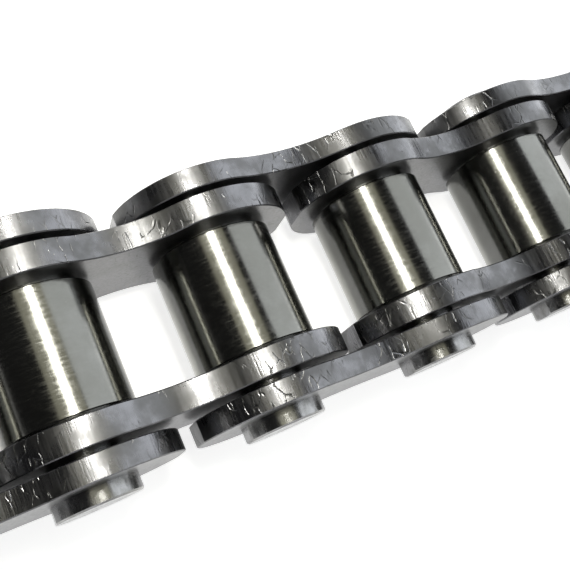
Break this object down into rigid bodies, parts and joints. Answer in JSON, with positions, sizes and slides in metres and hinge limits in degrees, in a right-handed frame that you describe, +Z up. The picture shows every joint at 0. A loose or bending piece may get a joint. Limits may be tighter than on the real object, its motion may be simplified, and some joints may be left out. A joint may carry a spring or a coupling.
{
  "type": "roller chain",
  "caption": "Strand of heavy steel roller chain: waisted plates in inner and outer links, turning rollers on bushes, and headed pins on which the links bend",
  "frame": {"origin": "middle of the strand, halfway along it and halfway across it, on the line of the pin axes", "axes": "+X along the chain, +Y across it along the pins (front plates are on the -Y side, back plates on the +Y side), +Z up, square to both, through the sprocket-tooth gaps"},
  "size_m": [0.301, 0.0546, 0.0334],
  "materials": {
    "inner_plate_steel": "blued steel, tumbled to a dull polish, with shear marks on the edges",
    "outer_plate_steel": "blued steel, tumbled to a dull polish, with shear marks on the edges",
    "roller_steel": "hardened steel, dark and polished, lightly oiled",
    "bush_steel": "hardened steel, dark and smooth",
    "pin_steel": "hardened steel, ground, with a spread head"
  },
  "bodies": {
    "inner_link_1": {"inner_plate_front_1": "inner_plate_steel", "inner_plate_back_1": "inner_plate_steel", "bush_1": "bush_steel", "bush_2": "bush_steel"},
    "inner_link_2": {"inner_plate_front_2": "inner_plate_steel", "inner_plate_back_2": "inner_plate_steel", "bush_3": "bush_steel", "bush_4": "bush_steel"},
    "inner_link_3": {"inner_plate_front_3": "inner_plate_steel", "inner_plate_back_3": "inner_plate_steel", "bush_5": "bush_steel", "bush_6": "bush_steel"},
    "inner_link_4": {"inner_plate_front_4": "inner_plate_steel", "inner_plate_back_4": "inner_plate_steel", "bush_7": "bush_steel", "bush_8": "bush_steel"},
    "outer_link_1": {"outer_plate_front_1": "outer_plate_steel", "outer_plate_back_1": "outer_plate_steel", "pin_2": "pin_steel", "pin_3": "pin_steel"},
    "outer_link_2": {"outer_plate_front_2": "outer_plate_steel", "outer_plate_back_2": "outer_plate_steel", "pin_4": "pin_steel", "pin_5": "pin_steel"},
    "outer_link_3": {"outer_plate_front_3": "outer_plate_steel", "outer_plate_back_3": "outer_plate_steel", "pin_6": "pin_steel", "pin_7": "pin_steel"},
    "roller_1": {"roller_1": "roller_steel"},
    "roller_2": {"roller_2": "roller_steel"},
    "roller_3": {"roller_3": "roller_steel"},
    "roller_4": {"roller_4": "roller_steel"},
    "roller_5": {"roller_5": "roller_steel"},
    "roller_6": {"roller_6": "roller_steel"},
    "roller_7": {"roller_7": "roller_steel"},
    "roller_8": {"roller_8": "roller_steel"}
  },
  "joints": [
    {"name": "pin_hinge_4", "type": "hinge", "parent": "outer_link_2", "child": "inner_link_2", "pos_m": [-0.01905, 0, 0], "axis": [0, -1, 0], "range_deg": [-45, 45]},
    {"name": "pin_hinge_3", "type": "hinge", "parent": "inner_link_2", "child": "outer_link_1", "pos_m": [-0.05715, 0, 0], "axis": [0, -1, 0], "range_deg": [-45, 45]},
    {"name": "pin_hinge_2", "type": "hinge", "parent": "outer_link_1", "child": "inner_link_1", "pos_m": [-0.09525, 0, 0], "axis": [0, -1, 0], "range_deg": [-45, 45]},
    {"name": "pin_hinge_5", "type": "hinge", "parent": "outer_link_2", "child": "inner_link_3", "pos_m": [0.01905, 0, 0], "axis": [0, 1, 0], "range_deg": [-45, 45]},
    {"name": "pin_hinge_6", "type": "hinge", "parent": "inner_link_3", "child": "outer_link_3", "pos_m": [0.05715, 0, 0], "axis": [0, 1, 0], "range_deg": [-45, 45]},
    {"name": "pin_hinge_7", "type": "hinge", "parent": "outer_link_3", "child": "inner_link_4", "pos_m": [0.09525, 0, 0], "axis": [0, 1, 0], "range_deg": [-45, 45]},
    {"name": "roller_spin_1", "type": "hinge", "parent": "inner_link_1", "child": "roller_1", "pos_m": [-0.13335, 0, 0], "axis": [0, 1, 0], "continuous": true},
    {"name": "roller_spin_2", "type": "hinge", "parent": "inner_link_1", "child": "roller_2", "pos_m": [-0.09525, 0, 0], "axis": [0, 1, 0], "continuous": true},
    {"name": "roller_spin_3", "type": "hinge", "parent": "inner_link_2", "child": "roller_3", "pos_m": [-0.05715, 0, 0], "axis": [0, 1, 0], "continuous": true},
    {"name": "roller_spin_4", "type": "hinge", "parent": "inner_link_2", "child": "roller_4", "pos_m": [-0.01905, 0, 0], "axis": [0, 1, 0], "continuous": true},
    {"name": "roller_spin_5", "type": "hinge", "parent": "inner_link_3", "child": "roller_5", "pos_m": [0.01905, 0, 0], "axis": [0, 1, 0], "continuous": true},
    {"name": "roller_spin_6", "type": "hinge", "parent": "inner_link_3", "child": "roller_6", "pos_m": [0.05715, 0, 0], "axis": [0, 1, 0], "continuous": true},
    {"name": "roller_spin_7", "type": "hinge", "parent": "inner_link_4", "child": "roller_7", "pos_m": [0.09525, 0, 0], "axis": [0, 1, 0], "continuous": true},
    {"name": "roller_spin_8", "type": "hinge", "parent": "inner_link_4", "child": "roller_8", "pos_m": [0.13335, 0, 0], "axis": [0, 1, 0], "continuous": true}
  ]
}
